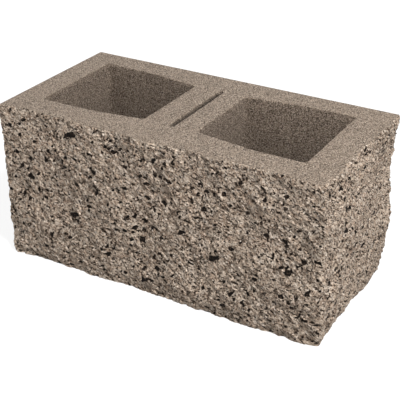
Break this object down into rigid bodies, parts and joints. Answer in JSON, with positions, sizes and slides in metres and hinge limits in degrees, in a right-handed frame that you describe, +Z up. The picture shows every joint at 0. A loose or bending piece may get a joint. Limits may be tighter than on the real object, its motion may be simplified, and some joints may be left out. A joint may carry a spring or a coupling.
{
  "type": "concrete block",
  "caption": "Hollow concrete masonry block with open vertical cores, a rough split front and end, smooth other faces and a splitting groove in its centre web.",
  "frame": {"origin": "middle of the bottom of the box that just holds the block, crags included", "axes": "+X along the length, from the smooth end to the split end; +Y from the split front to the smooth back; +Z up"},
  "size_m": [0.402, 0.1981, 0.1937],
  "materials": {
    "concrete": "matte"
  },
  "bodies": {
    "root": {"block": "concrete"}
  },
  "joints": []
}
